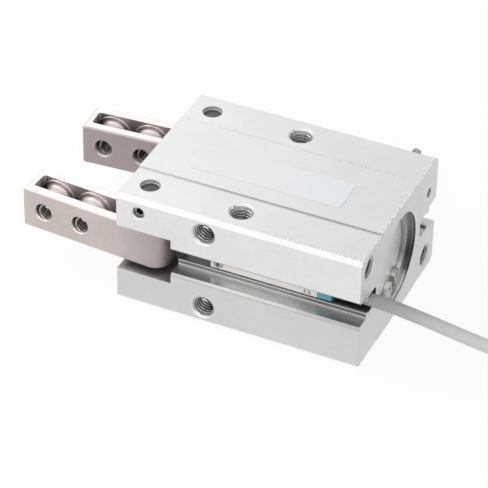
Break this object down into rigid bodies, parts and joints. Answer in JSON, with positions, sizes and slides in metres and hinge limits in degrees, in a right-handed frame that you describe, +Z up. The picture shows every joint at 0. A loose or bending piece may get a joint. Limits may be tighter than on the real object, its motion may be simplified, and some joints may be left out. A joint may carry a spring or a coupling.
{
  "type": "pneumatic angular gripper",
  "caption": "Pneumatic angular gripper: aluminium block with swinging fingers on pins, driven by a piston yoke, with a slot switch and its coiled lead.",
  "frame": {"origin": "middle of the body's underside, the face it rests on", "axes": "+X from the fingers to the tail, +Y across the body away from the switch, +Z up through the body's thickness"},
  "size_m": [0.1446, 0.0674, 0.0277],
  "materials": {
    "body_aluminium": "satin",
    "finger_steel": "satin plated",
    "pin_steel": "ground",
    "screw_steel": "bright",
    "head_steel": "machined",
    "rod_steel": "polished",
    "piston_aluminium": "machined",
    "cap_aluminium": "turned",
    "seal_rubber": "matte",
    "bumper_rubber": "matte",
    "magnet": "matte",
    "bush_brass": "machined",
    "nipple_brass": "nickel plated",
    "ring_steel": "bright",
    "switch_plastic": "moulded",
    "switch_cap_plastic": "translucent",
    "lead_jacket": "matte vinyl",
    "core_brown": "vinyl",
    "core_blue": "vinyl",
    "label_film": "film"
  },
  "bodies": {
    "housing": {"body": "body_aluminium", "pivot_pin_left": "pin_steel", "pivot_pin_right": "pin_steel", "pin_set_screws": "screw_steel", "rod_bush": "bush_brass", "rod_seal": "seal_rubber", "front_bumper": "bumper_rubber", "rear_bumper": "bumper_rubber", "rear_cap": "cap_aluminium", "cap_seal": "seal_rubber", "retaining_ring": "ring_steel", "passage_plug": "pin_steel", "hose_nipple": "nipple_brass", "nipple_gasket": "seal_rubber", "switch_body": "switch_plastic", "switch_cap": "switch_cap_plastic", "switch_screw": "screw_steel", "switch_lead": "lead_jacket", "lead_coil": "lead_jacket", "lead_core_brown": "core_brown", "lead_core_blue": "core_blue", "label": "label_film"},
    "left_finger": {"finger_left": "finger_steel"},
    "right_finger": {"finger_right": "finger_steel"},
    "slider": {"drive_head": "head_steel", "drive_pins": "pin_steel", "piston_rod": "rod_steel", "piston": "piston_aluminium", "piston_seal": "seal_rubber", "piston_magnet": "magnet", "piston_nut": "screw_steel"}
  },
  "joints": [
    {"name": "left_finger_swing", "type": "hinge", "parent": "housing", "child": "left_finger", "pos_m": [-0.0225, -0.01515, 0.0138], "axis": [0, 0, 1], "range_deg": [-5.8, 34.2]},
    {"name": "right_finger_swing", "type": "hinge", "parent": "housing", "child": "right_finger", "pos_m": [-0.0225, 0.01515, 0.0138], "axis": [0, 0, -1], "range_deg": [-5.8, 34.2]},
    {"name": "piston_stroke", "type": "slide", "parent": "housing", "child": "slider", "axis": [-1, 0, 0], "range_m": [-0.00082, 0.00482]}
  ],
  "couplings": [
    {"joint": "left_finger_swing", "follows": "piston_stroke", "rad_per_m": 123.75},
    {"joint": "right_finger_swing", "follows": "piston_stroke", "rad_per_m": 123.75}
  ]
}
